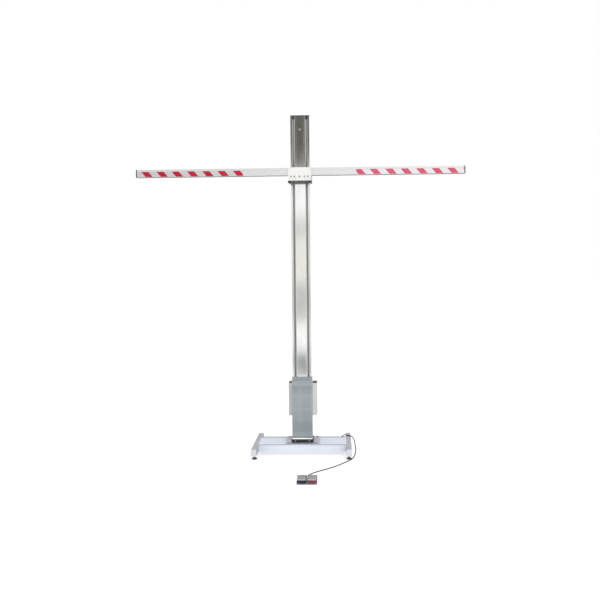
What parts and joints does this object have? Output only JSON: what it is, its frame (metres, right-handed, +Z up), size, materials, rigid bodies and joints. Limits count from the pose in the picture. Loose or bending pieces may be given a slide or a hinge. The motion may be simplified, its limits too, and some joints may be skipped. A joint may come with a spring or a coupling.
{
  "type": "vertical lift barrier stand",
  "caption": "Free-standing slotted mast on a low base, with a red and white taped boom that rides up and down it on a belt-driven carriage, worked from a foot pedal on a cable.",
  "frame": {"origin": "on the floor, under the middle of the stand and its pedal; the mast stands 0.318 m behind it", "axes": "+X along the boom to the right, +Y to the back of the stand, +Z up"},
  "size_m": [3, 1.243, 3.1304],
  "materials": {
    "mast_metal": "brushed lengthwise, dull",
    "strip_metal": "brushed lengthwise, brighter than the mast",
    "cover_metal": "satin, cool grey",
    "carriage_metal": "off-white powder coat",
    "bar_metal": "pale satin anodised",
    "box_paint": "light grey powder coat",
    "beam_paint": "pale cool grey powder coat",
    "leg_paint": "mid grey powder coat",
    "plate_metal": "mill finish, dull",
    "steel": "zinc plated",
    "motor_paint": "dark grey enamel",
    "black_plastic": "moulded black",
    "grey_plastic": "moulded light grey",
    "black_paint": "black powder coat",
    "belt_rubber": "toothed drive belt",
    "bumper_rubber": "soft black",
    "roller_plastic": "natural nylon",
    "hazard_tape": "red and white slanted stripes",
    "pedal_base": "dull plate",
    "pedal_black": "black moulding",
    "pedal_red": "dark red moulding",
    "treadle_metal": "worn silver grey",
    "cable_rubber": "black sheath"
  },
  "bodies": {
    "stand": {"base_beam": "beam_paint", "base_bolt_1": "steel", "base_bolt_2": "steel", "base_bolt_3": "steel", "base_bolt_4": "steel", "base_plate": "plate_metal", "cable_gland": "black_plastic", "control_box": "box_paint", "door_hinge_pin": "steel", "drive_belt": "belt_rubber", "front_cover": "cover_metal", "gear_motor": "motor_paint", "idler_axle": "steel", "leg_cap_left_back": "grey_plastic", "leg_cap_left_front": "grey_plastic", "leg_cap_right_back": "grey_plastic", "leg_cap_right_front": "grey_plastic", "leg_left": "leg_paint", "leg_right": "leg_paint", "mains_inlet": "black_plastic", "mast_front_strip": "strip_metal", "mast_profile": "mast_metal", "mast_socket": "black_paint", "mast_top_cap": "black_plastic", "pedal_base": "pedal_base", "pedal_cable": "cable_rubber", "pedal_housing_left": "pedal_black", "pedal_housing_right": "pedal_red", "pedal_strain_relief": "black_plastic"},
    "carriage": {"bar_cap_left": "black_plastic", "bar_cap_right": "black_plastic", "bottom_guard": "black_plastic", "bumper_left": "bumper_rubber", "bumper_right": "bumper_rubber", "carriage_frame": "carriage_metal", "clamp_bolt_1": "steel", "clamp_bolt_2": "steel", "clamp_bolt_3": "steel", "clamp_bolt_4": "steel", "clamp_bolt_5": "steel", "clamp_plate": "carriage_metal", "cross_bar": "bar_metal", "hazard_tape_left": "hazard_tape", "hazard_tape_right": "hazard_tape", "trolley": "steel"},
    "foot_left_front": {"foot_left_front": "black_plastic"},
    "foot_left_back": {"foot_left_back": "black_plastic"},
    "foot_right_front": {"foot_right_front": "black_plastic"},
    "foot_right_back": {"foot_right_back": "black_plastic"},
    "roller_left_lower": {"roller_left_lower": "roller_plastic"},
    "roller_left_upper": {"roller_left_upper": "roller_plastic"},
    "roller_right_lower": {"roller_right_lower": "roller_plastic"},
    "roller_right_upper": {"roller_right_upper": "roller_plastic"},
    "idler_wheel": {"idler_pulley": "steel"},
    "drive_wheel": {"drive_pulley": "steel"},
    "door": {"control_box_door": "box_paint"},
    "lock": {"door_lock": "steel"},
    "left_treadle": {"treadle_left": "treadle_metal"},
    "right_treadle": {"treadle_right": "treadle_metal"}
  },
  "joints": [
    {"name": "carriage_lift", "type": "slide", "parent": "stand", "child": "carriage", "axis": [0, 0, 1], "range_m": [-1.76, 0.32]},
    {"name": "roller_left_lower_spin", "type": "hinge", "parent": "carriage", "child": "roller_left_lower", "pos_m": [-0.0717, 0.3285, 2.51], "axis": [0, 1, 0], "range_deg": [-1242, 6743]},
    {"name": "roller_left_upper_spin", "type": "hinge", "parent": "carriage", "child": "roller_left_upper", "pos_m": [-0.0717, 0.3285, 2.63], "axis": [0, 1, 0], "range_deg": [-1242, 6743]},
    {"name": "roller_right_lower_spin", "type": "hinge", "parent": "carriage", "child": "roller_right_lower", "pos_m": [0.0717, 0.3285, 2.51], "axis": [0, 1, 0], "range_deg": [-6743, 1242]},
    {"name": "roller_right_upper_spin", "type": "hinge", "parent": "carriage", "child": "roller_right_upper", "pos_m": [0.0717, 0.3285, 2.63], "axis": [0, 1, 0], "range_deg": [-6743, 1242]},
    {"name": "idler_spin", "type": "hinge", "parent": "stand", "child": "idler_wheel", "pos_m": [0, 0.324, 3], "axis": [0, 1, 0], "range_deg": [-2821, 529]},
    {"name": "drive_spin", "type": "hinge", "parent": "stand", "child": "drive_wheel", "pos_m": [0, 0.324, 0.45], "axis": [0, 1, 0], "range_deg": [-2821, 529]},
    {"name": "door_swing", "type": "hinge", "parent": "stand", "child": "door", "pos_m": [-0.1375, 0.494, 0.48], "axis": [0, 0, 1], "range_deg": [0, 110]},
    {"name": "lock_turn", "type": "hinge", "parent": "door", "child": "lock", "pos_m": [0.11, 0.4925, 0.48], "axis": [0, 1, 0], "range_deg": [0, 90]},
    {"name": "foot_left_front_turn", "type": "hinge", "parent": "stand", "child": "foot_left_front", "pos_m": [-0.425, 0.08, 0], "axis": [0, 0, 1], "continuous": true},
    {"name": "foot_left_back_turn", "type": "hinge", "parent": "stand", "child": "foot_left_back", "pos_m": [-0.425, 0.556, 0], "axis": [0, 0, 1], "continuous": true},
    {"name": "foot_right_front_turn", "type": "hinge", "parent": "stand", "child": "foot_right_front", "pos_m": [0.425, 0.08, 0], "axis": [0, 0, 1], "continuous": true},
    {"name": "foot_right_back_turn", "type": "hinge", "parent": "stand", "child": "foot_right_back", "pos_m": [0.425, 0.556, 0], "axis": [0, 0, 1], "continuous": true},
    {"name": "treadle_left_press", "type": "hinge", "parent": "stand", "child": "left_treadle", "pos_m": [0.0345, -0.493, 0.0345], "axis": [1, 0, 0], "range_deg": [0, 4.5], "stiffness_Nm_per_rad": 4, "springref_deg": -8.59},
    {"name": "treadle_right_press", "type": "hinge", "parent": "stand", "child": "right_treadle", "pos_m": [0.1215, -0.493, 0.0345], "axis": [1, 0, 0], "range_deg": [0, 4.5], "stiffness_Nm_per_rad": 4, "springref_deg": -8.59}
  ],
  "couplings": [
    {"joint": "roller_left_lower_spin", "follows": "carriage_lift", "rad_per_m": -66.667},
    {"joint": "roller_left_upper_spin", "follows": "carriage_lift", "rad_per_m": -66.667},
    {"joint": "roller_right_lower_spin", "follows": "carriage_lift", "rad_per_m": 66.667},
    {"joint": "roller_right_upper_spin", "follows": "carriage_lift", "rad_per_m": 66.667},
    {"joint": "idler_spin", "follows": "carriage_lift", "rad_per_m": 27.778},
    {"joint": "drive_spin", "follows": "carriage_lift", "rad_per_m": 27.778}
  ]
}
